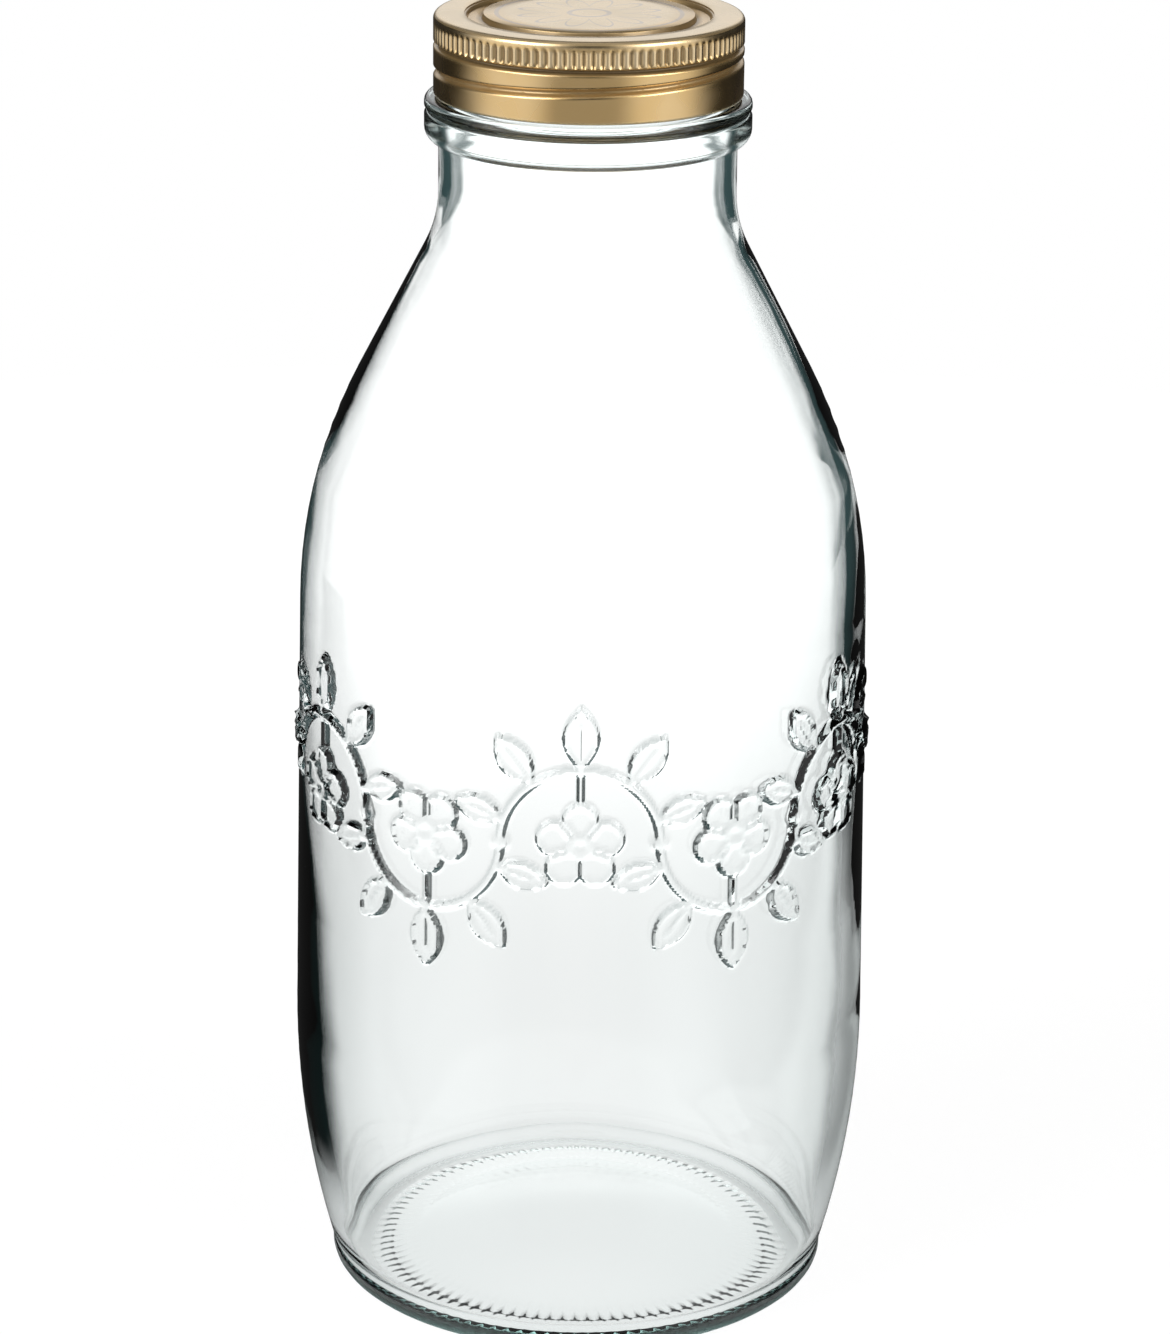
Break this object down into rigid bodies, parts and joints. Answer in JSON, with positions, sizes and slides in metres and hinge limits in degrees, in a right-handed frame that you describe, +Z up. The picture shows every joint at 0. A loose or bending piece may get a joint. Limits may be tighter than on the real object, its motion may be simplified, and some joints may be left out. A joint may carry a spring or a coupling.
{
  "type": "glass milk bottle",
  "caption": "Clear glass milk bottle with rounded shoulders, a moulded vine of leaves and blossoms across the front, a carrying collar and a gold tinplate screw band over a stamped lid disc.",
  "frame": {"origin": "middle of the bearing ring, on the surface that the bottle stands on", "axes": "+Z up along the bottle's axis, -Y towards the viewer of the picture"},
  "size_m": [0.0988, 0.0989, 0.222],
  "materials": {
    "clear_glass": "clear, faintly green",
    "gold_tinplate": "gold lacquered tinplate",
    "sealing_compound": "matte sealing compound"
  },
  "bodies": {
    "bottle": {"bottle": "clear_glass"},
    "lid": {"lid_disc": "gold_tinplate", "sealing_ring": "sealing_compound"},
    "band": {"screw_band": "gold_tinplate"}
  },
  "joints": [
    {"name": "lid_lift", "type": "slide", "parent": "bottle", "child": "lid", "axis": [0, 0, 1], "range_m": [0, 0.01524]},
    {"name": "band_turn", "type": "hinge", "parent": "lid", "child": "band", "pos_m": [0, 0, 0.2219], "axis": [0, 0, 1], "range_deg": [0, 1080]}
  ],
  "couplings": [
    {"joint": "lid_lift", "follows": "band_turn", "m_per_rad": 0.00080851}
  ]
}
